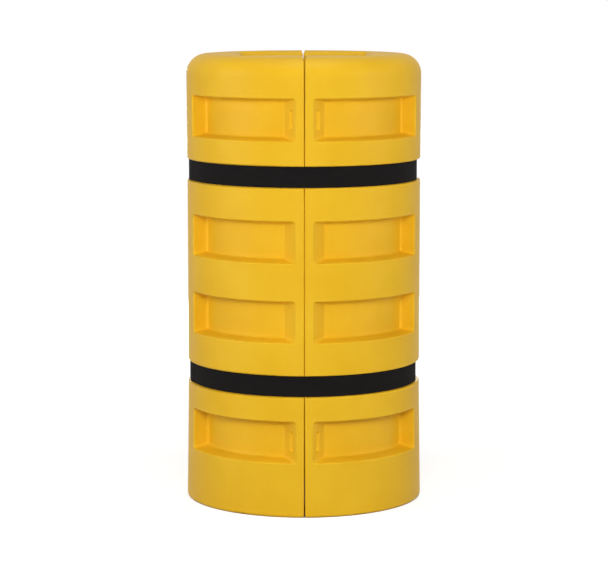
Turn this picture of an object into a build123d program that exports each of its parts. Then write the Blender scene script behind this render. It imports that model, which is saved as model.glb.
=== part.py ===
"""Column protector: two hollow moulded halves, held round a column by two hook-and-loop straps.

Millimetres, +Z up, origin at the centre of the base. The halves meet at the plane x = 0, the front
is -Y, and a place round the body is given as a turn in degrees from the front, by way of the left.
"""
import os
from math import acos, cos, degrees, hypot, radians, sin, sqrt, tan

from build123d import *

# Body of revolution
HEIGHT = 1097.0
BODY_RADIUS = 287.0
SHOULDER_RADIUS = 49.0
TOP_SLOPE = 0.3
TOP_FLARE = 1.5
BASE_FLARE = 4.2
BASE_EDGE_RADIUS = 6.0
WALL = 4.8

# Column opening, square with rounded corners
COLUMN_OPENING = 310.0
OPENING_CORNER_RADIUS = 10.0
OPENING_RIM_RADIUS = 15.0

# Seam between the halves: the straps pull it nearly shut, its ends gape, and its top is notched
SEAM_GAP_TOP = 2.2
SEAM_GAP_MID = 0.4
SEAM_GAP_BASE = 2.8
SEAM_EDGE_RADIUS = 4.0
SEAM_NOTCH_WIDTH = 9.0
SEAM_NOTCH_DEPTH = 14.0

# Rows of pockets and strap grooves are laid out up and down from this height
LAYOUT_MID_Z = 565.5
STRAP_OFFSET = 249.5
POCKET_OFFSETS = (95.2, 384.0)

# Pockets: drafted above and below, with a seam-side wall that leans and an end wall on a radius
POCKET_HEIGHT = 100.0
POCKET_DEPTH = 37.0
POCKET_DRAFT = 11.0
POCKET_SEAM_EDGE = 21.0
POCKET_SEAM_DRAFT = 33.0
POCKET_END_TURN = 70.0
POCKET_CORNER_RADIUS = 7.0
POCKET_MOUTH_RADIUS = 3.5

# Oval dimples in the seam-side walls of the outermost pockets
DIMPLE_HEIGHT = 52.0
DIMPLE_WIDTH = 20.0
DIMPLE_DEPTH = 6.0
DIMPLE_DRAFT = 35.0
DIMPLE_BELOW_MOUTH = 16.0

# Straps and their grooves
STRAP_WIDTH = 50.0
STRAP_THICKNESS = 1.8
STRAP_CLEARANCE = 0.3
STRAP_END_RADIUS = 10.0
GROOVE_DEPTH = 10.0
GROOVE_SIDE_CLEARANCE = 1.0
GROOVE_LIP_RADIUS = 3.0

# Hook-and-loop closure, behind the left half
FLAP_END_TURN = 82.0
ARM_END_TURN = 150.0
ARM_STEP_MARGIN = 1.0
PULL_END_LENGTH = 28.0
HOOK_THICKNESS = 1.0
HOOK_LENGTH = 220.0
LOOP_THICKNESS = 0.9
LOOP_LENGTH = 300.0
PATCH_MARGIN = 3.0
PATCH_CLEARANCE = 0.15
LOOP_END_MARGIN = 10.0

# Vent hole and its plug, in the wall that faces the column
VENT_HEIGHT = 180.0
VENT_HOLE_RADIUS = 10.0
VENT_PAD_RADIUS = 22.0
VENT_PAD_DEPTH = 5.0
PLUG_CLEARANCE = 0.15
PLUG_HEAD_RADIUS = 15.0
PLUG_HEAD_THICKNESS = 3.0
PLUG_LIP = 1.2
PLUG_NOSE_LENGTH = 6.0

# How far cutting tools reach past what they cut, and how near to a place counts as there
OVERRUN = 40.0
NEAR = 1.0

STRAP_HEIGHTS = {"upper": LAYOUT_MID_Z + STRAP_OFFSET, "lower": LAYOUT_MID_Z - STRAP_OFFSET}
GROOVE_HALF_HEIGHT = STRAP_WIDTH / 2 + GROOVE_SIDE_CLEARANCE
FLARE_MARGIN = GROOVE_HALF_HEIGHT + 2 * GROOVE_LIP_RADIUS
POCKET_HEIGHTS = [LAYOUT_MID_Z + side * offset for side in (1, -1) for offset in POCKET_OFFSETS]
DIMPLED_HEIGHTS = [LAYOUT_MID_Z + side * max(POCKET_OFFSETS) for side in (1, -1)]
COLUMN_WALL = COLUMN_OPENING / 2
TOP_FALL = tan(radians(TOP_SLOPE))

# Strap layers, from the groove floor outwards
STRAP_INNER = BODY_RADIUS - GROOVE_DEPTH + STRAP_CLEARANCE
STRAP_OUTER = STRAP_INNER + STRAP_THICKNESS
LOOP_INNER = STRAP_OUTER + PATCH_CLEARANCE
LOOP_OUTER = LOOP_INNER + LOOP_THICKNESS
HOOK_INNER = LOOP_OUTER + STRAP_CLEARANCE
HOOK_OUTER = HOOK_INNER + HOOK_THICKNESS
LAP_INNER = HOOK_OUTER + PATCH_CLEARANCE
LAP_OUTER = LAP_INNER + STRAP_THICKNESS

FRONT = Plane(origin=(0, 0, 0), x_dir=(0, -1, 0), z_dir=(-1, 0, 0))


def at_turn(radius, turn):
    """Point in plan at a turn from the front, by way of the left."""
    return (-radius * sin(radians(turn)), -radius * cos(radians(turn)))


def arc_at(radius, start_turn, end_turn):
    """Arc about the body's axis between two turns."""
    return CenterArc((0, 0), radius, 270 - start_turn, start_turn - end_turn)


def top_height(radius):
    """Height of the gently sloping top at a distance from the axis."""
    return HEIGHT - (radius - COLUMN_WALL) * TOP_FALL


def body_of_revolution(inset):
    """Right half of the barrel, with no seam gap or opening yet."""
    skin = BODY_RADIUS - inset
    foot = skin + BASE_FLARE
    brow = skin + TOP_FLARE
    outline = FilletPolyline(
        (0, inset),
        (foot, inset),
        (skin, STRAP_HEIGHTS["lower"] - FLARE_MARGIN),
        (skin, STRAP_HEIGHTS["upper"] + FLARE_MARGIN),
        (brow, top_height(brow) - inset),
        (0, top_height(0) - inset),
        radius=[max(BASE_EDGE_RADIUS - inset, 0), 0, 0, SHOULDER_RADIUS - inset],
    )
    section = make_face(outline + Line(outline @ 1, outline @ 0))
    return revolve(FRONT * section, Axis.Z, 180)


def seam_side(inset):
    """Space on the right of the seam: its left face bows away at the base and the top."""
    reach = BODY_RADIUS + OVERRUN
    base = (SEAM_GAP_BASE / 2 + inset, 0)
    middle = (SEAM_GAP_MID / 2 + inset, LAYOUT_MID_Z)
    top = (SEAM_GAP_TOP / 2 + inset, HEIGHT)
    outline = Spline(base, middle, top) + Polyline(top, (reach, HEIGHT), (reach, 0), base)
    return extrude(Plane.XZ * make_face(outline), amount=reach, both=True)


def seam_notch():
    """Wedge that opens the top end of the seam."""
    half = SEAM_NOTCH_WIDTH / 2
    outline = Polyline((-half, HEIGHT), (half, HEIGHT), (0, HEIGHT - SEAM_NOTCH_DEPTH), close=True)
    return extrude(Plane.XZ * make_face(outline), amount=BODY_RADIUS, both=True)


def column_space(inset):
    """Square shaft that the column stands in."""
    side = COLUMN_OPENING + 2 * inset
    section = RectangleRounded(side, side, OPENING_CORNER_RADIUS + inset)
    return extrude(Pos(0, 0, -OVERRUN) * section, amount=HEIGHT + 2 * OVERRUN)


def groove(height, inset):
    """Ring that cuts one strap groove, with its lips rounded."""
    floor = BODY_RADIUS - GROOVE_DEPTH - inset
    half = GROOVE_HALF_HEIGHT + inset
    lip = GROOVE_LIP_RADIUS
    outside = BODY_RADIUS + OVERRUN
    bend = BODY_RADIUS - lip
    low = height - half
    high = height + half
    outline = (
        Line((floor, high), (floor, low))
        + Line((floor, low), (bend, low))
        + RadiusArc((bend, low), (BODY_RADIUS, low - lip), lip)
        + Line((BODY_RADIUS, low - lip), (outside, low - lip))
        + Line((outside, low - lip), (outside, high + lip))
        + Line((outside, high + lip), (BODY_RADIUS, high + lip))
        + RadiusArc((BODY_RADIUS, high + lip), (bend, high), lip)
        + Line((bend, high), (floor, high))
    )
    return revolve(FRONT * make_face(outline), Axis.Z, 180)


def seam_wall_plane():
    """Seam-side wall of the front pockets: it leans away from the seam as it goes in."""
    lean = radians(POCKET_SEAM_DRAFT)
    mouth_y = -sqrt(BODY_RADIUS**2 - POCKET_SEAM_EDGE**2)
    return Plane(
        origin=(POCKET_SEAM_EDGE, mouth_y, 0),
        x_dir=(sin(lean), cos(lean), 0),
        z_dir=(cos(lean), -sin(lean), 0),
    )


def end_wall_plane():
    """Wall at the far end of the front pockets, on a radius of the body."""
    turn = radians(POCKET_END_TURN)
    return Plane(origin=(0, 0, 0), x_dir=(0, 0, 1), z_dir=(-cos(turn), -sin(turn), 0))


def front_pocket(height, inset):
    """Front pocket of the right half: a drafted ring, cut off by its two end walls."""
    slope = tan(radians(POCKET_DRAFT))
    floor = BODY_RADIUS - POCKET_DEPTH - inset
    outside = BODY_RADIUS + OVERRUN
    mouth_half = POCKET_HEIGHT / 2 + inset / cos(radians(POCKET_DRAFT))
    floor_half = mouth_half + (floor - BODY_RADIUS) * slope
    outside_half = mouth_half + (outside - BODY_RADIUS) * slope
    section = Polyline(
        (floor, height - floor_half),
        (outside, height - outside_half),
        (outside, height + outside_half),
        (floor, height + floor_half),
        close=True,
    )
    ring = revolve(FRONT * make_face(section), Axis.Z, 180)
    ring = split(ring, seam_wall_plane().offset(-inset), keep=Keep.TOP)
    return split(ring, end_wall_plane().offset(-inset), keep=Keep.TOP)


def soften(pocket):
    """Round the inner corners of a pocket."""
    outside = BODY_RADIUS + OVERRUN

    def inside(edge):
        middle = edge @ 0.5
        return hypot(middle.X, middle.Y) < outside - NEAR

    return fillet(pocket.edges().filter_by(inside), POCKET_CORNER_RADIUS)


def front_dimple(height, inset):
    """Oval dimple in the seam-side wall of a front pocket, with sloping sides."""
    wall = seam_wall_plane()
    middle = wall.origin + wall.x_dir * (DIMPLE_BELOW_MOUTH / cos(radians(POCKET_SEAM_DRAFT)))
    start = Plane(middle + wall.z_dir * NEAR + Vector(0, 0, height), wall.x_dir, -wall.z_dir)
    oval = SlotOverall(DIMPLE_HEIGHT + 2 * inset, DIMPLE_WIDTH + 2 * inset, rotation=90)
    return extrude(start * oval, amount=NEAR + DIMPLE_DEPTH + inset, taper=DIMPLE_DRAFT)


def front_and_back(shapes):
    """The shapes with their mirror images behind."""
    return shapes + [mirror(shape, Plane.XZ) for shape in shapes]


def fillet_up_to(edges, radius):
    """Round edges by the radius, or by the nearest smaller one that the modeller can follow."""
    for twentieths in range(20, 9, -1):
        try:
            return fillet(edges, radius * twentieths / 20)
        except ValueError:
            continue
    raise ValueError("these edges take no rounding")


def cut_pocket(form, height, side):
    """Cut one pocket into the form, in front (side -1) or behind (side 1), and round its mouth."""

    def on_mouth(edge):
        middle = edge @ 0.5
        near_skin = hypot(middle.X, middle.Y) > BODY_RADIUS - POCKET_MOUTH_RADIUS
        beside_seam = middle.X > POCKET_SEAM_EDGE / 2
        end = BODY_RADIUS * cos(radians(POCKET_END_TURN)) - POCKET_CORNER_RADIUS
        in_row = abs(middle.Z - height) < POCKET_HEIGHT / 2 + NEAR
        return near_skin and beside_seam and in_row and middle.Y * side > end

    pocket = soften(front_pocket(height, 0))
    if side > 0:
        pocket = mirror(pocket, Plane.XZ)
    form = form - pocket
    return fillet_up_to(form.edges().filter_by(on_mouth), POCKET_MOUTH_RADIUS)


def rounded_form():
    """Outside of the right half, from its plain form to its rounded edges."""

    def on_rim(edge):
        middle = edge @ 0.5
        low = top_height(COLUMN_WALL * sqrt(2)) - OPENING_RIM_RADIUS
        beside_wall = hypot(middle.X, middle.Y) < COLUMN_WALL * sqrt(2)
        return middle.Z > low and beside_wall and middle.X > SEAM_GAP_BASE

    def on_seam(edge):
        points = [edge @ 0, edge @ 0.5, edge @ 1]
        flat = all(point.X < SEAM_GAP_BASE for point in points)
        outer = max(abs(point.Y) for point in points) > COLUMN_WALL + NEAR
        return flat and outer and points[1].Z > NEAR

    form = body_of_revolution(0) - column_space(0)
    form = fillet(form.edges().filter_by(on_rim), OPENING_RIM_RADIUS)
    form = form & seam_side(0)
    form = fillet(form.edges().filter_by(on_seam), SEAM_EDGE_RADIUS)
    form = form - seam_notch()
    form = form - [groove(height, 0) for height in STRAP_HEIGHTS.values()]
    for height in POCKET_HEIGHTS:
        for side in (-1, 1):
            form = cut_pocket(form, height, side)
    return form - front_and_back([front_dimple(height, 0) for height in DIMPLED_HEIGHTS])


def hollow_form():
    """Air space inside the right half: the same form, drawn in by the wall."""
    form = body_of_revolution(WALL) & seam_side(WALL)
    form = form - column_space(WALL)
    form = form - [groove(height, WALL) for height in STRAP_HEIGHTS.values()]
    form = form - front_and_back([front_pocket(height, WALL) for height in POCKET_HEIGHTS])
    return form - front_and_back([front_dimple(height, WALL) for height in DIMPLED_HEIGHTS])


VENT_AXIS = Plane(origin=(COLUMN_WALL, 0, VENT_HEIGHT), x_dir=(0, 1, 0), z_dir=(1, 0, 0))


def along_vent(radius, start, end):
    """Round bar on the vent's axis, between two depths below the column side."""
    return extrude(VENT_AXIS.offset(start) * Circle(radius), amount=end - start)


def right_shell():
    """Hollow half with a sunk pad and vent hole in the wall that faces the column."""
    shell = rounded_form() - hollow_form()
    shell = shell + along_vent(VENT_PAD_RADIUS + WALL, WALL / 2, VENT_PAD_DEPTH + WALL)
    shell = shell - along_vent(VENT_PAD_RADIUS, -OVERRUN, VENT_PAD_DEPTH)
    return shell - along_vent(VENT_HOLE_RADIUS, 0, VENT_PAD_DEPTH + OVERRUN)


def right_plug():
    """Push-in plug: its head lies in the pad, and a lip holds it behind the wall."""
    head = along_vent(PLUG_HEAD_RADIUS, VENT_PAD_DEPTH - PLUG_HEAD_THICKNESS, VENT_PAD_DEPTH)
    head = chamfer(head.edges().sort_by(Axis.X)[0], PLUG_HEAD_THICKNESS / 2)
    wall_end = VENT_PAD_DEPTH + WALL + PLUG_CLEARANCE
    stem = along_vent(VENT_HOLE_RADIUS - PLUG_CLEARANCE, VENT_PAD_DEPTH, wall_end)
    nose_end = wall_end + PLUG_NOSE_LENGTH
    lip = VENT_AXIS.offset(wall_end) * Circle(VENT_HOLE_RADIUS + PLUG_LIP)
    tip = VENT_AXIS.offset(nose_end) * Circle(VENT_HOLE_RADIUS - PLUG_LIP)
    return head + stem + loft([lip, tip])


def standing(outline, height, width):
    """Upright band of the given width about a height, from its outline in plan."""
    return extrude(Pos(0, 0, height - width / 2) * make_face(outline), amount=width)


def ring_outline(inner, outer, start_turn, end_turn):
    """Plan of a band that keeps to one radius."""
    return (
        arc_at(outer, start_turn, end_turn)
        + Line(at_turn(outer, end_turn), at_turn(inner, end_turn))
        + arc_at(inner, end_turn, start_turn)
        + Line(at_turn(inner, start_turn), at_turn(outer, start_turn))
    )


def rounded_end(strap, turn):
    """The strap with the two corners at one end rounded."""
    end = Vector(*at_turn(STRAP_INNER, turn), 0)
    corners = [
        edge
        for edge in strap.edges()
        if abs(edge.length - STRAP_THICKNESS) < STRAP_CLEARANCE
        and hypot((edge @ 0.5).X - end.X, (edge @ 0.5).Y - end.Y) < STRAP_WIDTH / 2
    ]
    return fillet(corners, STRAP_END_RADIUS)


def strap_band(height):
    """Length of strap round the right half, from the rear seam to the front seam."""
    return standing(ring_outline(STRAP_INNER, STRAP_OUTER, 180, 360), height, STRAP_WIDTH)


def strap_flap(height):
    """Strap end that lies on the left half from the rear seam, under the lap."""
    flap = standing(ring_outline(STRAP_INNER, STRAP_OUTER, FLAP_END_TURN, 180), height, STRAP_WIDTH)
    return rounded_end(flap, FLAP_END_TURN)


def strap_arm(height):
    """Strap end that comes round from the front seam and laps over the flap."""
    land_turn = FLAP_END_TURN - ARM_STEP_MARGIN
    lift_turn = land_turn - degrees(acos(STRAP_INNER / LAP_INNER))
    outline = (
        arc_at(STRAP_OUTER, 0, lift_turn)
        + Line(at_turn(STRAP_OUTER, lift_turn), at_turn(LAP_OUTER, land_turn))
        + arc_at(LAP_OUTER, land_turn, ARM_END_TURN)
        + Line(at_turn(LAP_OUTER, ARM_END_TURN), at_turn(LAP_INNER, ARM_END_TURN))
        + arc_at(LAP_INNER, ARM_END_TURN, land_turn)
        + Line(at_turn(LAP_INNER, land_turn), at_turn(STRAP_INNER, lift_turn))
        + arc_at(STRAP_INNER, lift_turn, 0)
        + Line(at_turn(STRAP_INNER, 0), at_turn(STRAP_OUTER, 0))
    )
    return rounded_end(standing(outline, height, STRAP_WIDTH), ARM_END_TURN)


def hook_patch(height):
    """Hook tape on the inner face of the arm, short of its pull end."""
    end = ARM_END_TURN - degrees(PULL_END_LENGTH / LAP_INNER)
    start = end - degrees(HOOK_LENGTH / LAP_INNER)
    width = STRAP_WIDTH - 2 * PATCH_MARGIN
    return standing(ring_outline(HOOK_INNER, HOOK_OUTER, start, end), height, width)


def loop_patch(height):
    """Loop tape on the outer face of the flap."""
    start = FLAP_END_TURN + degrees(LOOP_END_MARGIN / STRAP_OUTER)
    end = start + degrees(LOOP_LENGTH / STRAP_OUTER)
    width = STRAP_WIDTH - 2 * PATCH_MARGIN
    return standing(ring_outline(LOOP_INNER, LOOP_OUTER, start, end), height, width)


def make_parts():
    """Every piece of the object, by name."""
    shell = right_shell()
    plug = right_plug()
    parts = {
        "right_half_shell": shell,
        "left_half_shell": mirror(shell, Plane.YZ),
        "right_vent_plug": plug,
        "left_vent_plug": mirror(plug, Plane.YZ),
    }
    for name, height in STRAP_HEIGHTS.items():
        parts[f"{name}_strap_band"] = strap_band(height)
        parts[f"{name}_strap_arm"] = strap_arm(height)
        parts[f"{name}_strap_flap"] = strap_flap(height)
        parts[f"{name}_hook_patch"] = hook_patch(height)
        parts[f"{name}_loop_patch"] = loop_patch(height)
    return parts


os.makedirs("parts", exist_ok=True)
for node, solid in make_parts().items():
    export_step(solid, f"parts/{node}.step")
    print(node, "volume", round(solid.volume / 1000, 1), "cm3")
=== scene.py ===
# %% [markdown]
# # Column protector
# A guard that stands round a building column and takes the knocks of passing trucks. Two hollow
# yellow mouldings close round the column, and two black straps hold them together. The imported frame
# brings every solid at its real size and place, in metres, with +Z up and the front seam towards -Y.
# This scene adds what the solids leave out: the skin of the plastic, the weave and selvedge of the
# straps, their hook and loop faces, and the sewing.

# %% Load the frame
from math import acos, cos, degrees, pi, radians, sin, sqrt, tau

import bmesh
import bpy
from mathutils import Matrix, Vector


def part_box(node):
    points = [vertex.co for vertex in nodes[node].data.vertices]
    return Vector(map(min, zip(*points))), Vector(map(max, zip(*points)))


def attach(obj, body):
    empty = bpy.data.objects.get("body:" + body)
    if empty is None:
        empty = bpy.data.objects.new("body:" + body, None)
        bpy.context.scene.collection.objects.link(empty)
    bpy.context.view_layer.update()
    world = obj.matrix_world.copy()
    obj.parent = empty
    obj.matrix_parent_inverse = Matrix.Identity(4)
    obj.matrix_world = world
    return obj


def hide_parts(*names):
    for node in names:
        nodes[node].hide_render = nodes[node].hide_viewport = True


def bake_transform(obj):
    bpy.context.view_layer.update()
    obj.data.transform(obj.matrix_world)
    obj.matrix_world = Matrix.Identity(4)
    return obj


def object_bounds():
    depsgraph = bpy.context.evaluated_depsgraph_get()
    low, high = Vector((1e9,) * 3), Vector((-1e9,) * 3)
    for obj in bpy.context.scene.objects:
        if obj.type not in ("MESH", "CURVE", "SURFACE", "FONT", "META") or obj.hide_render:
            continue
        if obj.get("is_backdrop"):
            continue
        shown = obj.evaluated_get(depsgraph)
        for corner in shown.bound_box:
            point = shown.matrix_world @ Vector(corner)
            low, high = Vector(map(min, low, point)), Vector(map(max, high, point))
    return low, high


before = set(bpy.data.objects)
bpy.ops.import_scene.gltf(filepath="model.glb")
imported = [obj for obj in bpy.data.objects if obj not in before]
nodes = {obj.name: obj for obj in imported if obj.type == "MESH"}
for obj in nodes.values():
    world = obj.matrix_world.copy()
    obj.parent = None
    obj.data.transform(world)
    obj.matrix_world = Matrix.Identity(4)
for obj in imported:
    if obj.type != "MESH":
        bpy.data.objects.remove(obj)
cad_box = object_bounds()


def rounded(values, digits=4):
    """Numbers short enough to print."""
    return [round(value, digits) for value in values]


print("CAD box:", [rounded(corner) for corner in cad_box])

# %% [markdown]
# ## Camera
# The photograph is taken from almost six metres with a long lens, so the barrel's sides look almost
# parallel. A focal length in pixels, divided by the picture's width, gives the lens for any sensor.
# The camera stands a little to the left of the seam, which is why the narrow gap between the halves
# shows as a dark line and not as a slit with daylight in it.

# %% Place the camera
PHOTO_WIDTH = 608
FOCAL_PIXELS = 2355
SENSOR_WIDTH = 36
CAMERA_PLACE = (-0.0354, -5.8, 1.288)
CAMERA_TILT = radians(7.485)
CAMERA_TURN = radians(-0.3546)

scene = bpy.context.scene


def add_object(name, data):
    """Puts a mesh, curve, lamp or camera into the scene, at the origin."""
    thing = bpy.data.objects.new(name, data)
    scene.collection.objects.link(thing)
    return thing


camera_data = bpy.data.cameras.new("camera")
camera_data.sensor_width = SENSOR_WIDTH
camera_data.lens = FOCAL_PIXELS / PHOTO_WIDTH * SENSOR_WIDTH
camera = add_object("camera", camera_data)
camera.location = CAMERA_PLACE
camera.rotation_euler = (pi / 2 - CAMERA_TILT, 0, CAMERA_TURN)
scene.camera = camera
scene.view_settings.view_transform = "Standard"
print("lens:", round(camera_data.lens, 1), "mm")

# %% [markdown]
# ## Studio
# The background is white because camera and glossy rays see a world of strength 1, while the light
# that the world sends to the object is set apart from it and is low. Light Path tells the two kinds
# of rays apart.

# %% Light the background
AMBIENT = 0.1


def add_node(tree, kind, **inputs):
    """A new node in a tree. A keyword sets the input of that name, with _ for a space."""
    node = tree.nodes.new(kind)
    for name, value in inputs.items():
        node.inputs[name.replace("_", " ")].default_value = value
    return node


def seen_directly(tree):
    """An output that is 1 for rays that show the background, and 0 for rays that carry light."""
    path = add_node(tree, "ShaderNodeLightPath")
    shown = path.outputs["Is Camera Ray"]
    for ray in ("Is Glossy Ray", "Is Transmission Ray"):
        larger = add_node(tree, "ShaderNodeMath")
        larger.operation = "MAXIMUM"
        tree.links.new(shown, larger.inputs[0])
        tree.links.new(path.outputs[ray], larger.inputs[1])
        shown = larger.outputs[0]
    return shown


def between(tree, factor, low, high):
    """An output that goes from low to high as the factor goes from 0 to 1."""
    blend = add_node(tree, "ShaderNodeMapRange", To_Min=low, To_Max=high)
    tree.links.new(factor, blend.inputs["Value"])
    return blend.outputs["Result"]


world = bpy.data.worlds.new("studio")
world.use_nodes = True
sky = world.node_tree.nodes["Background"]
sky.inputs["Color"].default_value = (1, 1, 1, 1)
world.node_tree.links.new(between(world.node_tree, seen_directly(world.node_tree), AMBIENT, 1),
                          sky.inputs["Strength"])
scene.world = world
print("world:", world.name, "lights the object at", AMBIENT)

# %% [markdown]
# ## Lamps
# Most of the light comes from the front. Two softboxes, one above the other, light the barrel and
# reach into the pockets as far as their end walls. A tall one on each side keeps the edges of the
# barrel from going dark, one overhead lights the shoulder, and a low one stands behind for the back.
# The front lamp is hidden from glossy rays, or the flat top would mirror it to a viewer behind and
# melt into the white.

# %% Hang the lamps
OBJECT_MIDDLE = Vector((0, 0, 0.6))
FRONT_REACH = 3.4
FRONT_SIZE = (1.2, 0.8)
SIDE_TURN = 68
SIDE_REACH = 2.6
SIDE_HEIGHT = 1.35
SIDE_SIZE = (0.5, 1.7)


def softbox(name, turn, reach, height, size, power):
    """A rectangular lamp that faces the object; turn is in degrees from the front, by way of the left."""
    lamp = bpy.data.lights.new(name, "AREA")
    lamp.shape = "RECTANGLE"
    lamp.size, lamp.size_y = size
    lamp.energy = power
    holder = add_object(name, lamp)
    angle = radians(turn)
    holder.location = (-reach * sin(angle), -reach * cos(angle), height)
    holder.rotation_euler = (OBJECT_MIDDLE - holder.location).to_track_quat("-Z", "Y").to_euler()
    return holder


front_lamp = softbox("front_softbox", turn=0, reach=FRONT_REACH, height=1.5, size=FRONT_SIZE, power=54)
front_lamp.visible_glossy = False
softbox("low_softbox", turn=0, reach=FRONT_REACH, height=0.9, size=FRONT_SIZE, power=8)
softbox("overhead_softbox", turn=0, reach=0.6, height=3.4, size=(1.6, 1.6), power=20)
softbox("left_softbox", turn=SIDE_TURN, reach=SIDE_REACH, height=SIDE_HEIGHT, size=SIDE_SIZE, power=21)
softbox("right_softbox", turn=-SIDE_TURN, reach=SIDE_REACH, height=SIDE_HEIGHT, size=SIDE_SIZE, power=17)
softbox("rear_softbox", turn=180, reach=3.6, height=0.75, size=(1.6, 0.6), power=65)
print("lamps:", [light.name for light in bpy.data.lights])

# %% [markdown]
# ## Floor
# The floor is a pale sheet that the camera sees as white. Round the object its own glow is a little
# less than white and the light on it makes up the rest, so that the object still leaves a soft shadow
# round its foot. Farther away, where the lamps are weaker, the glow grows to white, and the floor runs
# into the background with no edge. The glow fades where the floor is shut in on all sides, or the
# shaft would be lit from below and the seam would show daylight.

# %% Lay the floor
FLOOR_SIZE = 30
FLOOR_GREY = (0.5, 0.5, 0.5, 1)
FLOOR_GLOW = 0.72
NEAR_FLOOR = 0.9
FAR_FLOOR = 3.0
SHAFT_REACH = 0.4
SHUT_IN = 0.25
IN_OPEN = 0.45


def new_finish(name):
    """A new material, with its tree and its main shader."""
    material = bpy.data.materials.new(name)
    material.use_nodes = True
    tree = material.node_tree
    return material, tree, tree.nodes["Principled BSDF"]


def floor_material():
    """Matt grey that also glows for the rays that show it."""
    material, tree, shader = new_finish("studio_floor")
    tree.nodes.remove(shader)
    matt = add_node(tree, "ShaderNodeBsdfDiffuse", Color=FLOOR_GREY)
    glow = add_node(tree, "ShaderNodeEmission")
    both = add_node(tree, "ShaderNodeAddShader")
    open_sky = add_node(tree, "ShaderNodeAmbientOcclusion", Distance=SHAFT_REACH)
    in_open = add_node(tree, "ShaderNodeMapRange", From_Min=SHUT_IN, From_Max=IN_OPEN)
    tree.links.new(open_sky.outputs["AO"], in_open.inputs["Value"])
    away = add_node(tree, "ShaderNodeVectorMath")
    away.operation = "LENGTH"
    tree.links.new(add_node(tree, "ShaderNodeTexCoord").outputs["Object"], away.inputs[0])
    white = add_node(tree, "ShaderNodeMapRange", From_Min=NEAR_FLOOR, From_Max=FAR_FLOOR, To_Min=FLOOR_GLOW)
    tree.links.new(away.outputs["Value"], white.inputs["Value"])
    strength = seen_directly(tree)
    for share in (in_open, white):
        product = add_node(tree, "ShaderNodeMath")
        product.operation = "MULTIPLY"
        tree.links.new(strength, product.inputs[0])
        tree.links.new(share.outputs["Result"], product.inputs[1])
        strength = product.outputs[0]
    tree.links.new(strength, glow.inputs["Strength"])
    tree.links.new(matt.outputs[0], both.inputs[0])
    tree.links.new(glow.outputs[0], both.inputs[1])
    tree.links.new(both.outputs[0], tree.nodes["Material Output"].inputs["Surface"])
    return material


half = FLOOR_SIZE / 2
floor_corners = [(-half, -half, 0), (half, -half, 0), (half, half, 0), (-half, half, 0)]
floor_mesh = bpy.data.meshes.new("floor")
floor_mesh.from_pydata(floor_corners, [], [(0, 1, 2, 3)])
floor_mesh.materials.append(floor_material())
floor = add_object("floor", floor_mesh)
floor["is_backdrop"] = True
print("floor:", FLOOR_SIZE, "m square")

# %% [markdown]
# ## Moulded skin
# The halves are rotationally moulded polyethylene: coloured right through, satin, with the faint
# orange peel of the mould and slow waves where the wall cooled unevenly. The shape of the solids is
# right, so they stay and only get this finish. The pattern is read from Object coordinates: it has
# its real scale in metres and stays put when a half is moved. A scale is a number of bumps per metre.

# %% Make tools for finishes
NOISE_ROUGHNESS = 0.55
# A Mix node has sockets of one name for every kind of data. These are the places of its colour ones.
MIX_FACTOR, MIX_FIRST, MIX_SECOND, MIX_RESULT = 0, 6, 7, 2


def srgb(red, green, blue):
    """A colour as a picture shows it, from 0 to 255, turned into the linear values that shaders use."""
    def linear(value):
        """The curve of the sRGB standard, undone."""
        value /= 255
        return value / 12.92 if value <= 0.04045 else ((value + 0.055) / 1.055) ** 2.4
    return (linear(red), linear(green), linear(blue), 1)


def noise_on(tree, place, scale, detail):
    """Grey noise of so many bumps per metre."""
    noise = add_node(tree, "ShaderNodeTexNoise", Scale=scale, Detail=detail, Roughness=NOISE_ROUGHNESS)
    tree.links.new(place, noise.inputs["Vector"])
    return noise.outputs["Fac"]


def two_tones(tree, factor, first, second):
    """A colour output that goes from the first to the second as the factor goes from 0 to 1."""
    mix = add_node(tree, "ShaderNodeMix")
    mix.data_type = "RGBA"
    tree.links.new(factor, mix.inputs[MIX_FACTOR])
    mix.inputs[MIX_FIRST].default_value = first
    mix.inputs[MIX_SECOND].default_value = second
    return mix.outputs[MIX_RESULT]


def relief(tree, height, depth, under=None):
    """A bump of so many metres, on top of another where one is given."""
    bump = add_node(tree, "ShaderNodeBump", Distance=depth, Strength=1)
    tree.links.new(height, bump.inputs["Height"])
    if under is not None:
        tree.links.new(under, bump.inputs["Normal"])
    return bump.outputs["Normal"]


print("white is", srgb(255, 255, 255))

# %% Finish the shells
TONE_SCALE = 9
TONE_LOW = 0.35
TONE_HIGH = 0.65
SHINE_SCALE = 34
WAVE_SCALE = 11
WAVE_DEPTH = 0.0016
PEEL_SCALE = 330
SATIN_SPECULAR = 0.28


def moulded_plastic(name, deep, pale, shine, peel):
    """Satin plastic in two close tones, with the orange peel and the slow waves of its mould."""
    material, tree, shader = new_finish(name)
    place = add_node(tree, "ShaderNodeTexCoord").outputs["Object"]
    tone = add_node(tree, "ShaderNodeMapRange", From_Min=TONE_LOW, From_Max=TONE_HIGH)
    tree.links.new(noise_on(tree, place, TONE_SCALE, detail=4), tone.inputs["Value"])
    tree.links.new(two_tones(tree, tone.outputs["Result"], deep, pale), shader.inputs["Base Color"])
    glints = noise_on(tree, place, SHINE_SCALE, detail=3)
    tree.links.new(between(tree, glints, *shine), shader.inputs["Roughness"])
    waves = relief(tree, noise_on(tree, place, WAVE_SCALE, detail=1), WAVE_DEPTH)
    skin = relief(tree, noise_on(tree, place, PEEL_SCALE, detail=2), peel, waves)
    tree.links.new(skin, shader.inputs["Normal"])
    shader.inputs["Specular IOR Level"].default_value = SATIN_SPECULAR
    return material


def finish_node(name, material):
    """Gives a solid of the frame its material."""
    nodes[name].data.materials.clear()
    nodes[name].data.materials.append(material)


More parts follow.
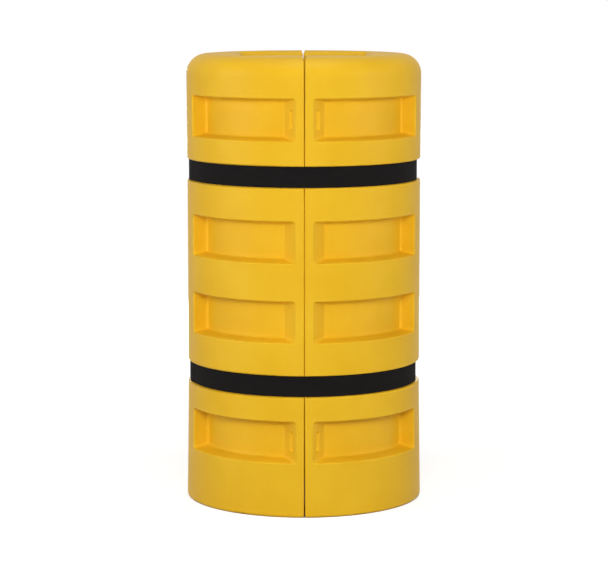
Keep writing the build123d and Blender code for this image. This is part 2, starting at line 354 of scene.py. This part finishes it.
yellow_skin = moulded_plastic("yellow_polyethylene", deep=srgb(237, 185, 27), pale=srgb(241, 191, 35),
                              shine=(0.46, 0.56), peel=0.00012)
black_skin = moulded_plastic("black_polyethylene", deep=srgb(40, 40, 41), pale=srgb(47, 47, 48),
                             shine=(0.45, 0.6), peel=0.0001)
for side in ("left", "right"):
    finish_node(side + "_half_shell", yellow_skin)
    finish_node(side + "_vent_plug", black_skin)
print("finishes:", yellow_skin.name, black_skin.name)

# %% [markdown]
# ## Where the straps run
# Each strap is one length of webbing. Its band lies in the groove of the right half. From the front
# seam an arm goes on round the left half, and from the rear seam a shorter flap comes to meet it.
# The arm climbs over the flap's end and laps it, hooks on loops. Angles are turns from the front
# seam, by way of the left, and the radii and ends are read from the boxes of the solids.

# %% Measure the straps
STRAPS = ("upper", "lower")
WEBBING_THICKNESS = 0.0018
STEP_MARGIN = radians(1)
TAPE_GAP = 0.00015
HOOK_TAPE_THICKNESS = 0.001
LOOP_TAPE_THICKNESS = 0.0009


def on_barrel(turn, radius, height):
    """The point at a turn from the front seam, a radius from the axis and a height."""
    return Vector((-radius * sin(turn), -radius * cos(turn), height))


def turn_of(y, radius):
    """The turn on the left half at which a circle of this radius reaches y."""
    return acos(-y / radius)


def ease(value):
    """A smooth step from 0 to 1."""
    value = min(max(value, 0), 1)
    return value * value * (3 - 2 * value)


class Strap:
    """Radii, heights and turns of one strap, in metres and radians."""

    def __init__(self, name):
        band_low, band_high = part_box(name + "_strap_band")
        arm_low, arm_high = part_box(name + "_strap_arm")
        flap_low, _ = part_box(name + "_strap_flap")
        hook_low, hook_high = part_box(name + "_hook_patch")
        loop_low, loop_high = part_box(name + "_loop_patch")
        self.name = name
        self.width = band_high[2] - band_low[2]
        self.height = (band_high[2] + band_low[2]) / 2
        self.outer = band_high[0]
        self.middle = self.outer - WEBBING_THICKNESS / 2
        self.inner = self.outer - WEBBING_THICKNESS
        self.lap_outer = -arm_low[0]
        self.lap_middle = self.lap_outer - WEBBING_THICKNESS / 2
        self.lap_inner = self.lap_outer - WEBBING_THICKNESS
        self.arm_end = turn_of(arm_high[1], self.lap_outer)
        self.flap_end = turn_of(flap_low[1], self.outer)
        self.land = self.flap_end - STEP_MARGIN
        self.lift = self.land - acos(self.middle / self.lap_middle)
        self.tape_width = hook_high[2] - hook_low[2]
        hook_outer = self.lap_inner - TAPE_GAP
        loop_outer = self.outer + TAPE_GAP + LOOP_TAPE_THICKNESS
        self.hook_start = turn_of(hook_low[1], hook_outer - HOOK_TAPE_THICKNESS)
        self.hook_end = turn_of(hook_high[1], hook_outer)
        self.loop_start = turn_of(loop_low[1], loop_outer)
        self.loop_end = turn_of(loop_high[1], loop_outer)

    def arm_radius(self, turn):
        """Middle of the webbing from band to lap: on the groove, up the step, then over the flap."""
        climb = ease((turn - self.lift) / (self.land - self.lift))
        return self.middle + (self.lap_middle - self.middle) * climb


straps = [Strap(name) for name in STRAPS]
for strap in straps:
    turns = (strap.flap_end, strap.arm_end, strap.hook_start, strap.hook_end,
             strap.loop_start, strap.loop_end)
    print(strap.name, "strap: radius", round(strap.outer, 4), "lap", round(strap.lap_outer, 4),
          "turns", rounded((degrees(turn) for turn in turns), 1))

# %% [markdown]
# ## Webbing and thread
# Webbing is woven in narrow columns of yarn that cross over and under, with a firm selvedge along
# both edges. A picture of a weave would not bend with the strap, so the pattern is worked out from
# the strap's own UV map, which is laid out in metres: along the length and across the width. A sine
# across gives the columns, and one along, shifted by half in every other column, gives the crossings.

# %% Work out the weave
CROSSING_LIFT = 0.35


def calculate(tree, operation, *values):
    """A math node whose inputs are outputs of other nodes or plain numbers."""
    node = add_node(tree, "ShaderNodeMath")
    node.operation = operation
    for socket, value in zip(node.inputs, values):
        if isinstance(value, (int, float)):
            socket.default_value = value
        else:
            tree.links.new(value, socket)
    return node.outputs[0]


def weave_height(tree, yarn, pitch):
    """Height of a plain weave from 0 to 1, over a UV map in metres."""
    split = add_node(tree, "ShaderNodeSeparateXYZ")
    tree.links.new(add_node(tree, "ShaderNodeTexCoord").outputs["UV"], split.inputs[0])
    column = calculate(tree, "DIVIDE", split.outputs["Y"], yarn)
    number = calculate(tree, "FLOOR", column)
    across = calculate(tree, "SINE", calculate(tree, "MULTIPLY", calculate(tree, "FRACT", column), pi))
    shift = calculate(tree, "MULTIPLY", number, pi)
    along = calculate(tree, "MULTIPLY", split.outputs["X"], tau / pitch)
    crossing = calculate(tree, "SINE", calculate(tree, "ADD", along, shift))
    lifted = calculate(tree, "MULTIPLY_ADD", crossing, CROSSING_LIFT, 1 - CROSSING_LIFT)
    return calculate(tree, "MULTIPLY", across, lifted)


print("a yarn stands at 1 where it crosses over, and dips to", round(1 - 2 * CROSSING_LIFT, 2))

# %% Make the cloth finishes
SHADE_NOISE_SCALE = 60
SHADE_NOISE_RANGE = (0.5, 1.2)
CLOTH_ROUGHNESS = (1, 0.88)
CLOTH_SPECULAR = 0.1
FUZZ_SCALE = 2600
FUZZ_DEPTH = 0.00006
NYLON_TONE_SCALE = 900
NYLON_SHINE_SCALE = 400
NYLON_SPECULAR = 0.4


def woven_cloth(name, dark, light, yarn, pitch, depth):
    """Matt black weave with painted shade: darker between the yarns, paler on them, more or less at random.
    """
    material, tree, shader = new_finish(name)
    height = weave_height(tree, yarn, pitch)
    place = add_node(tree, "ShaderNodeTexCoord").outputs["Object"]
    # Painted shade: the colour is darker in the hollows between the yarns and paler on their tops, by an
    # amount that varies at random.
    shade_strength = between(tree, noise_on(tree, place, SHADE_NOISE_SCALE, detail=3), *SHADE_NOISE_RANGE)
    yarn_shade = calculate(tree, "MULTIPLY", height, shade_strength)
    tree.links.new(two_tones(tree, yarn_shade, dark, light), shader.inputs["Base Color"])
    tree.links.new(between(tree, height, *CLOTH_ROUGHNESS), shader.inputs["Roughness"])
    fuzz = relief(tree, noise_on(tree, place, FUZZ_SCALE, detail=2), FUZZ_DEPTH)
    tree.links.new(relief(tree, height, depth, fuzz), shader.inputs["Normal"])
    shader.inputs["Specular IOR Level"].default_value = CLOTH_SPECULAR
    return material


def fine_nylon(name, dark, light, shine):
    """Thread, hooks and loops: thin drawn nylon in two close tones."""
    material, tree, shader = new_finish(name)
    place = add_node(tree, "ShaderNodeTexCoord").outputs["Object"]
    tone = noise_on(tree, place, NYLON_TONE_SCALE, detail=2)
    tree.links.new(two_tones(tree, tone, dark, light), shader.inputs["Base Color"])
    glints = noise_on(tree, place, NYLON_SHINE_SCALE, detail=2)
    tree.links.new(between(tree, glints, *shine), shader.inputs["Roughness"])
    shader.inputs["Specular IOR Level"].default_value = NYLON_SPECULAR
    return material


webbing_cloth = woven_cloth("black_webbing", srgb(18, 17, 17), srgb(40, 38, 38),
                            yarn=0.0014, pitch=0.0030, depth=0.0003)
tape_cloth = woven_cloth("black_tape", srgb(20, 20, 20), srgb(38, 38, 39),
                         yarn=0.0007, pitch=0.0016, depth=0.0001)
hook_nylon = fine_nylon("hook_nylon", srgb(34, 34, 35), srgb(50, 50, 52), shine=(0.3, 0.5))
loop_nylon = fine_nylon("loop_nylon", srgb(36, 36, 37), srgb(56, 56, 58), shine=(0.6, 0.8))
sewing_thread = fine_nylon("sewing_thread", srgb(30, 30, 31), srgb(48, 47, 47), shine=(0.5, 0.7))
print("cloths:", webbing_cloth.name, tape_cloth.name)

# %% [markdown]
# ## Strips of webbing
# A strip is swept round the barrel: at each station the same section is set up square to the route.
# The section has round edges and a selvedge that stands a little prouder than the woven middle. A
# free end is cut with round corners and sealed, so the last stations grow narrower and close up.

# %% Draw the section
EDGE_STEPS = 5
MIDDLE_STEPS = 8
SELVEDGE = 0.004
SELVEDGE_STEP = 0.0012
SELVEDGE_RISE = 0.00018


def section_points(width, thickness, dip):
    """The outer face of a section, from its lower edge to its upper: pairs of height and offset."""
    edge = thickness / 2
    from_edge = [edge * (1 - cos(pi / 2 * step / EDGE_STEPS)) for step in range(EDGE_STEPS + 1)]
    from_edge += [SELVEDGE - SELVEDGE_STEP, SELVEDGE - SELVEDGE_STEP / 2, SELVEDGE]
    inner = width / 2 - SELVEDGE
    flat = [inner * (1 - step / MIDDLE_STEPS) for step in range(1, MIDDLE_STEPS + 1)]
    rise = [width / 2 - gap for gap in from_edge] + flat
    points = []
    for height in rise:
        gap = width / 2 - height
        bulge = sqrt(max(edge * edge - max(edge - gap, 0) ** 2, 0))
        points.append((-height, bulge - dip * ease((gap - SELVEDGE + SELVEDGE_STEP) / SELVEDGE_STEP)))
    return points + [(-height, offset) for height, offset in reversed(points[:-1])]


webbing_face = section_points(straps[0].width, WEBBING_THICKNESS, SELVEDGE_RISE)
print("section:", len(webbing_face), "points on a face")

# %% Choose the stations
STATION = radians(1.5)
STRAP_CORNER = 0.010
CORNER_STEPS = 10
# Shares of half the thickness: a sealed end is drawn at its tip and at the first of these, and the
# stations of its round corners start past the second.
SEAL_STATION = 0.25
CORNER_STATION = 0.4


def end_stations(corner, edge):
    """Distances from a cut end at which the strip is drawn: close together round the corners."""
    round_corner = [corner * (1 - cos(pi / 2 * step / CORNER_STEPS)) for step in range(1, CORNER_STEPS + 1)]
    return [0, edge * SEAL_STATION] + [gap for gap in round_corner if gap > edge * CORNER_STATION]


def strip_stations(start, end, radius, corner, edge, cut_start, cut_end):
    """Stations of a strip: the turn, and the way to the nearest cut end, where there is one near."""
    gaps = end_stations(corner, edge)
    head = [start + gap / radius for gap in gaps] if cut_start else [start]
    tail = [end - gap / radius for gap in reversed(gaps)] if cut_end else [end]
    count = max(round((tail[0] - head[-1]) / STATION), 2)
    body = [head[-1] + (tail[0] - head[-1]) * step / count for step in range(1, count)]
    for turn in head + body + tail:
        from_start = (turn - start) * radius if cut_start else corner
        from_end = (end - turn) * radius if cut_end else corner
        yield turn, max(min(from_start, from_end), 0)


sealed_end = end_stations(STRAP_CORNER, WEBBING_THICKNESS / 2)
print("sealed end drawn at", rounded((1000 * gap for gap in sealed_end), 2), "mm from its tip")

# %% Set up the sections along the route


def draw_rings(mesh, stations, radius_at, height, face, width, edge, corner):
    """Sets up the section at each station. Gives the rings of points, and the length up to each."""
    rings = []
    lengths = []
    travelled = 0
    before = None
    for turn, to_end in stations:
        radius = radius_at(turn)
        if before is not None:
            travelled += (turn - before) * radius
        before = turn
        lengths.append(travelled)
        drawn_in = corner - sqrt(corner ** 2 - (corner - min(to_end, corner)) ** 2)
        thin = sqrt(max(edge ** 2 - (edge - min(to_end, edge)) ** 2, 0)) / edge
        narrow = 1 - drawn_in / (width / 2)
        outer = [on_barrel(turn, radius + offset * thin, height + across * narrow) for across, offset in face]
        inner = [on_barrel(turn, radius - offset * thin, height + across * narrow) for across, offset in face]
        rings.append([mesh.verts.new(point) for point in outer + inner[-2:0:-1]])
    return rings, lengths


print("ring:", 2 * len(webbing_face) - 2, "points, because both faces share the points on the edges")

# %% Sweep a strip
MERGE_DISTANCE = 1e-6


def cover_rings(mesh, rings, lengths):
    """Joins the rings with faces, closes both ends and lays out the UV map in metres."""
    around = len(rings[0])
    middle = rings[len(rings) // 2]
    girth = [0]
    for index in range(around):
        girth.append(girth[-1] + (middle[(index + 1) % around].co - middle[index].co).length)
    uv = mesh.loops.layers.uv.new("cloth")
    for station in range(len(rings) - 1):
        for index in range(around):
            following = (index + 1) % around
            quad = mesh.faces.new((rings[station][index], rings[station][following],
                                   rings[station + 1][following], rings[station + 1][index]))
            quad.smooth = True
            places = ((station, index), (station, index + 1), (station + 1, index + 1), (station + 1, index))
            for loop, (row, column) in zip(quad.loops, places):
                loop[uv].uv = (lengths[row], girth[column])
    for ring in (rings[0], rings[-1]):
        cap = mesh.faces.new(ring)
        for cap_edge in cap.edges:
            cap_edge.smooth = False


def sweep_strip(name, start, end, radius_at, height, width, thickness, material,
                corner=STRAP_CORNER, cut_start=True, cut_end=True, dip=0):
    """One strip of webbing or tape round the barrel, as a closed mesh."""
    edge = thickness / 2
    face = section_points(width, thickness, dip)
    stations = strip_stations(start, end, radius_at(start), corner, edge, cut_start, cut_end)
    mesh = bmesh.new()
    rings, lengths = draw_rings(mesh, stations, radius_at, height, face, width, edge, corner)
    cover_rings(mesh, rings, lengths)
    bmesh.ops.remove_doubles(mesh, verts=mesh.verts, dist=MERGE_DISTANCE)
    bmesh.ops.recalc_face_normals(mesh, faces=mesh.faces)
    data = bpy.data.meshes.new(name)
    mesh.to_mesh(data)
    mesh.free()
    data.materials.append(material)
    print(name, round(lengths[-1], 3), "m long,", len(data.polygons), "faces")
    return add_object(name, data)


# %% [markdown]
# ## Straps
# Behind the right half each strap is cut in two for the scene, at a place that never moves. The front
# length holds the arm, and the rear length holds the flap.

# %% Make the straps
SPLICE_TURN = radians(225)


def bend_at_seam(piece):
    """Bakes a strip's placement into its mesh."""
    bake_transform(piece)


for strap in straps:
    front = sweep_strip(strap.name + "_webbing_front", SPLICE_TURN - tau, strap.arm_end, strap.arm_radius,
                        strap.height, strap.width, WEBBING_THICKNESS, webbing_cloth,
                        cut_start=False, dip=SELVEDGE_RISE)
    rear = sweep_strip(strap.name + "_webbing_rear", strap.flap_end, SPLICE_TURN, lambda turn: strap.middle,
                       strap.height, strap.width, WEBBING_THICKNESS, webbing_cloth,
                       cut_end=False, dip=SELVEDGE_RISE)
    bend_at_seam(front)
    bend_at_seam(rear)
    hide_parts(strap.name + "_strap_band", strap.name + "_strap_arm")
    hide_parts(strap.name + "_strap_flap")

# %% [markdown]
# ## Hook and loop tapes
# A thin tape is sewn inside the arm's end and another outside the flap's end. One carries rows of
# small moulded hooks and the other a nap of loops. There are thousands of both, so Geometry Nodes
# plant them: a grid of points is bent round the barrel, shaken a little, and a small arc of nylon is
# set on each point. One tree serves both tapes, because a hook and a loop differ only in their arc.

# %% Start the tree that plants hooks and loops
TUFT_SIZES = ("Radius", "Start Turn", "End Turn", "Width", "Height", "Pitch", "Tuft Radius", "Thickness",
              "Arc Start", "Arc Sweep", "Facing", "Twist")


def new_tree(name, inputs):
    """An empty geometry tree with named inputs, a pass for the mesh and one output."""
    tree = bpy.data.node_groups.new(name, "GeometryNodeTree")
    tree.interface.new_socket("Geometry", in_out="INPUT", socket_type="NodeSocketGeometry")
    for label, kind in inputs.items():
        tree.interface.new_socket(label, in_out="INPUT", socket_type="NodeSocket" + kind)
    tree.interface.new_socket("Geometry", in_out="OUTPUT", socket_type="NodeSocketGeometry")
    return tree, tree.nodes.new("NodeGroupInput"), tree.nodes.new("NodeGroupOutput")


def join(tree, source, target, name):
    """Links an output to a named input."""
    tree.links.new(source, target.inputs[name])


def vector_math(tree, operation, *values):
    """A vector math node whose inputs are outputs of other nodes or plain vectors."""
    node = add_node(tree, "ShaderNodeVectorMath")
    node.operation = operation
    for socket, value in zip(node.inputs, values):
        if isinstance(value, tuple):
            socket.default_value = value
        else:
            tree.links.new(value, socket)
    return node.outputs[0]


def outward(tree):
    """The level direction from the barrel's axis to the point."""
    position = add_node(tree, "GeometryNodeInputPosition").outputs[0]
    return vector_math(tree, "NORMALIZE", vector_math(tree, "MULTIPLY", position, (1, 1, 0)))


tufts, tuft_given, tuft_result = new_tree("planted_tufts", {
    **dict.fromkeys(TUFT_SIZES, "Float"), "Seed": "Int", "Nylon": "Material"})
print("tree:", tufts.name, "with the inputs", [socket.name for socket in tuft_given.outputs if socket.name])

# %% Lay out the points
SHAKE = 0.22


def tape_points(tree, get):
    """A grid of points on the tape, bent round the barrel, with each point shaken a little."""
    span = calculate(tree, "SUBTRACT", get["End Turn"], get["Start Turn"])
    middle = calculate(tree, "MULTIPLY", calculate(tree, "ADD", get["End Turn"], get["Start Turn"]), 0.5)
    pitch_turn = calculate(tree, "DIVIDE", get["Pitch"], get["Radius"])
    columns = calculate(tree, "FLOOR", calculate(tree, "DIVIDE", span, pitch_turn))
    rows = calculate(tree, "FLOOR", calculate(tree, "DIVIDE", get["Width"], get["Pitch"]))
    grid = add_node(tree, "GeometryNodeMeshGrid")
    join(tree, span, grid, "Size X")
    join(tree, get["Width"], grid, "Size Y")
    join(tree, columns, grid, "Vertices X")
    join(tree, rows, grid, "Vertices Y")

    shaken = add_node(tree, "FunctionNodeRandomValue")
    shaken.data_type = "FLOAT_VECTOR"
    shaken.inputs[0].default_value = (-SHAKE, -SHAKE, 0)
    shaken.inputs[1].default_value = (SHAKE, SHAKE, 0)
    join(tree, get["Seed"], shaken, "Seed")
    steps = add_node(tree, "ShaderNodeCombineXYZ")
    join(tree, pitch_turn, steps, "X")
    join(tree, get["Pitch"], steps, "Y")
    moved = vector_math(tree, "MULTIPLY", shaken.outputs[0], steps.outputs[0])
    spot = vector_math(tree, "ADD", add_node(tree, "GeometryNodeInputPosition").outputs[0], moved)

    parts = add_node(tree, "ShaderNodeSeparateXYZ")
    tree.links.new(spot, parts.inputs[0])
    turn = calculate(tree, "ADD", parts.outputs["X"], middle)
    back = calculate(tree, "MULTIPLY", get["Radius"], -1)
    bent = add_node(tree, "ShaderNodeCombineXYZ")
    join(tree, calculate(tree, "MULTIPLY", back, calculate(tree, "SINE", turn)), bent, "X")
    join(tree, calculate(tree, "MULTIPLY", back, calculate(tree, "COSINE", turn)), bent, "Y")
    join(tree, calculate(tree, "ADD", parts.outputs["Y"], get["Height"]), bent, "Z")
    placed = add_node(tree, "GeometryNodeSetPosition")
    join(tree, grid.outputs["Mesh"], placed, "Geometry")
    join(tree, bent.outputs[0], placed, "Position")
    return placed.outputs[0]


tuft_points = tape_points(tufts, tuft_given.outputs)
print("points:", len(tufts.nodes), "nodes so far")

# %% Bend one hook or loop
TUFT_STEPS = 8
TUFT_SIDES = 3
TUFT_STAND = 0.6


def one_tuft(tree, get):
    """A single arc of nylon, standing on the origin."""
    arc = add_node(tree, "GeometryNodeCurveArc", Resolution=TUFT_STEPS)
    join(tree, get["Tuft Radius"], arc, "Radius")
    join(tree, get["Arc Start"], arc, "Start Angle")
    join(tree, get["Arc Sweep"], arc, "Sweep Angle")
    stood = add_node(tree, "GeometryNodeTransform", Rotation=(pi / 2, 0, 0))
    join(tree, arc.outputs["Curve"], stood, "Geometry")
    lift = add_node(tree, "ShaderNodeCombineXYZ")
    join(tree, calculate(tree, "MULTIPLY", get["Tuft Radius"], TUFT_STAND), lift, "Z")
    join(tree, lift.outputs[0], stood, "Translation")
    strand = add_node(tree, "GeometryNodeCurvePrimitiveCircle", Resolution=TUFT_SIDES)
    join(tree, get["Thickness"], strand, "Radius")
    tuft = add_node(tree, "GeometryNodeCurveToMesh", Fill_Caps=True)
    join(tree, stood.outputs["Geometry"], tuft, "Curve")
    join(tree, strand.outputs["Curve"], tuft, "Profile Curve")
    return tuft.outputs[0]


tuft_arc = one_tuft(tufts, tuft_given.outputs)
print("arc:", len(tufts.nodes), "nodes so far")

# %% Plant them


def plant(tree, get, points, tuft):
    """A tuft on each point, facing away from the webbing and twisted at random."""
    away = outward(tree)
    facing = add_node(tree, "ShaderNodeVectorMath")
    facing.operation = "SCALE"
    tree.links.new(away, facing.inputs[0])
    join(tree, get["Facing"], facing, "Scale")
    axes = add_node(tree, "FunctionNodeAxesToRotation")
    axes.primary_axis = "Z"
    axes.secondary_axis = "X"
    tree.links.new(facing.outputs[0], axes.inputs[0])
    tree.links.new(vector_math(tree, "CROSS_PRODUCT", away, (0, 0, 1)), axes.inputs[1])
    planted = add_node(tree, "GeometryNodeInstanceOnPoints")
    join(tree, points, planted, "Points")
    join(tree, tuft, planted, "Instance")
    join(tree, axes.outputs[0], planted, "Rotation")
    swing = add_node(tree, "FunctionNodeRandomValue")
    swing.data_type = "FLOAT"
    join(tree, calculate(tree, "MULTIPLY", get["Twist"], -1), swing, "Min")
    join(tree, get["Twist"], swing, "Max")
    join(tree, get["Seed"], swing, "Seed")
    spin = add_node(tree, "ShaderNodeCombineXYZ")
    join(tree, swing.outputs[1], spin, "Z")
    turned = add_node(tree, "GeometryNodeRotateInstances")
    join(tree, planted.outputs[0], turned, "Instances")
    join(tree, spin.outputs[0], turned, "Rotation")
    return turned.outputs[0]


def add_to_tape(tree, get, planted, result):
    """Makes the planted tufts real, gives them their nylon and joins them to the tape."""
    real = add_node(tree, "GeometryNodeRealizeInstances")
    join(tree, planted, real, "Geometry")
    coloured = add_node(tree, "GeometryNodeSetMaterial")
    join(tree, real.outputs[0], coloured, "Geometry")
    join(tree, get["Nylon"], coloured, "Material")
    whole = add_node(tree, "GeometryNodeJoinGeometry")
    join(tree, coloured.outputs[0], whole, "Geometry")
    join(tree, get["Geometry"], whole, "Geometry")
    join(tree, whole.outputs[0], result, "Geometry")


planted_tufts = plant(tufts, tuft_given.outputs, tuft_points, tuft_arc)
add_to_tape(tufts, tuft_given.outputs, planted_tufts, tuft_result)
print("tree:", tufts.name, len(tufts.nodes), "nodes")

# %% Make the tapes
TAPE_BASE = 0.00045
TAPE_CORNER = 0.003
TUFT_MARGIN = 0.0015
HOOKS = {"Pitch": 0.0022, "Tuft Radius": 0.0004, "Thickness": 0.00011, "Arc Start": radians(-25),
         "Arc Sweep": radians(240), "Twist": 0.2, "Nylon": hook_nylon}
LOOPS = {"Pitch": 0.0021, "Tuft Radius": 0.00038, "Thickness": 0.00006, "Arc Start": radians(-60),
         "Arc Sweep": radians(300), "Twist": pi, "Nylon": loop_nylon}


def apply_tree(piece, tree, values):
    """Runs a tree on a piece and keeps the result as a plain mesh under the piece's name."""
    modifier = piece.modifiers.new("tree", "NODES")
    modifier.node_group = tree
    for socket in tree.interface.items_tree:
        if socket.in_out == "INPUT" and socket.name in values:
            modifier[socket.identifier] = values[socket.name]
    name = piece.name
    data = bpy.data.meshes.new_from_object(piece.evaluated_get(bpy.context.evaluated_depsgraph_get()))
    bpy.data.objects.remove(piece)
    data.name = name
    print(name, len(data.polygons), "faces")
    return add_object(name, data)


def make_tape(strap, kind, start, end, radius, facing, shape, seed):
    """A tape with its hooks or loops; radius is that of the webbing face that it is sewn to."""
    middle = radius + facing * TAPE_BASE / 2
    tape = sweep_strip(strap.name + "_" + kind + "_tape", start, end, lambda turn: middle, strap.height,
                       strap.tape_width, TAPE_BASE, tape_cloth, corner=TAPE_CORNER)
    margin = TUFT_MARGIN / radius
    sizes = {"Radius": radius + facing * TAPE_BASE, "Start Turn": start + margin, "End Turn": end - margin,
             "Width": strap.tape_width - 2 * TUFT_MARGIN, "Height": strap.height, "Facing": facing,
             "Seed": seed}
    return apply_tree(tape, tufts, {**shape, **sizes})


for seed, strap in enumerate(straps):
    hooks = make_tape(strap, "hook", strap.hook_start, strap.hook_end, strap.lap_inner, -1, HOOKS, seed)
    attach(hooks, strap.name + "_arm")
    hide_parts(strap.name + "_hook_patch")
    loops = make_tape(strap, "loop", strap.loop_start, strap.loop_end, strap.outer, 1, LOOPS, seed)
    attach(loops, strap.name + "_flap")
    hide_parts(strap.name + "_loop_patch")

# %% [markdown]
# ## Sewing
# Each tape is sewn on with a row of lockstitches all round. A stitch shows on both faces of the
# work: on the tape and on the back of the webbing. The route of the needle is a curve, and a second
# tree walks along it, setting one small bead of thread for each stitch.

# %% Build the tree that sews
BEAD_SEGMENTS = 6
BEAD_RINGS = 4
# A bead one metre across, so that its scale is its size.
BEAD_RADIUS = 0.5


def stitch_tree():
    """Lays stitches along curves, each bead turned along its curve and standing off the barrel."""
    tree, given, result = new_tree("sewn_rows", {
        "Stitch": "Float", "Gap": "Float", "Thread": "Float", "Thread Material": "Material"})
    get = given.outputs
    spaced = add_node(tree, "GeometryNodeResampleCurve")
    spaced.mode = "LENGTH"
    join(tree, get["Geometry"], spaced, "Curve")
    join(tree, calculate(tree, "ADD", get["Stitch"], get["Gap"]), spaced, "Length")
    bead = add_node(tree, "GeometryNodeMeshUVSphere", Segments=BEAD_SEGMENTS, Rings=BEAD_RINGS,
                    Radius=BEAD_RADIUS)
    size = add_node(tree, "ShaderNodeCombineXYZ")
    join(tree, get["Stitch"], size, "X")
    join(tree, get["Thread"], size, "Y")
    join(tree, get["Thread"], size, "Z")
    axes = add_node(tree, "FunctionNodeAxesToRotation")
    axes.primary_axis = "X"
    axes.secondary_axis = "Z"
    tree.links.new(add_node(tree, "GeometryNodeInputTangent").outputs[0], axes.inputs[0])
    tree.links.new(outward(tree), axes.inputs[1])
    laid = add_node(tree, "GeometryNodeInstanceOnPoints")
    join(tree, spaced.outputs[0], laid, "Points")
    join(tree, bead.outputs["Mesh"], laid, "Instance")
    join(tree, axes.outputs[0], laid, "Rotation")
    join(tree, size.outputs[0], laid, "Scale")
    real = add_node(tree, "GeometryNodeRealizeInstances")
    join(tree, laid.outputs[0], real, "Geometry")
    smooth = add_node(tree, "GeometryNodeSetShadeSmooth")
    join(tree, real.outputs[0], smooth, "Geometry")
    coloured = add_node(tree, "GeometryNodeSetMaterial")
    join(tree, smooth.outputs[0], coloured, "Geometry")
    join(tree, get["Thread Material"], coloured, "Material")
    join(tree, coloured.outputs[0], result, "Geometry")
    return tree


sewing = stitch_tree()
print("tree:", sewing.name, len(sewing.nodes), "nodes")

# %% Sew the tapes on
STITCH = {"Stitch": 0.0026, "Gap": 0.0006, "Thread": 0.0006, "Thread Material": sewing_thread}
SEAM_ALLOWANCE = 0.003
ROUTE_STEP = radians(2)


def needle_route(start, end, strap, radius):
    """Points of a rectangle on the barrel, just inside the edge of a tape."""
    inset = SEAM_ALLOWANCE / radius
    rise = strap.tape_width / 2 - SEAM_ALLOWANCE
    first, last = start + inset, end - inset
    count = round((last - first) / ROUTE_STEP)
    turns = [first + (last - first) * step / count for step in range(count + 1)]
    lower = [on_barrel(turn, radius, strap.height - rise) for turn in turns]
    upper = [on_barrel(turn, radius, strap.height + rise) for turn in reversed(turns)]
    return lower + upper


def sew(name, routes):
    """One piece of sewing along several closed routes."""
    curve = bpy.data.curves.new(name, "CURVE")
    curve.dimensions = "3D"
    for route in routes:
        spline = curve.splines.new("POLY")
        spline.points.add(len(route) - 1)
        for point, place in zip(spline.points, route):
            point.co = (*place, 1)
        spline.use_cyclic_u = True
    return apply_tree(add_object(name, curve), sewing, STITCH)


for strap in straps:
    arm_rows = sew(strap.name + "_arm_sewing", [
        needle_route(strap.hook_start, strap.hook_end, strap, strap.lap_outer),
        needle_route(strap.hook_start, strap.hook_end, strap, strap.lap_inner - TAPE_BASE)])
    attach(arm_rows, strap.name + "_arm")
    flap_rows = sew(strap.name + "_flap_sewing", [
        needle_route(strap.loop_start, strap.loop_end, strap, strap.outer + TAPE_BASE),
        needle_route(strap.loop_start, strap.loop_end, strap, strap.inner)])
    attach(flap_rows, strap.name + "_flap")

# %% [markdown]
# ## Sizes
# Both boxes are printed: that of the solids, taken before anything was added, and that of the dressed
# model.

# %% Measure the dressed model
visual_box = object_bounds()
print("visual box:", [rounded(corner) for corner in visual_box])
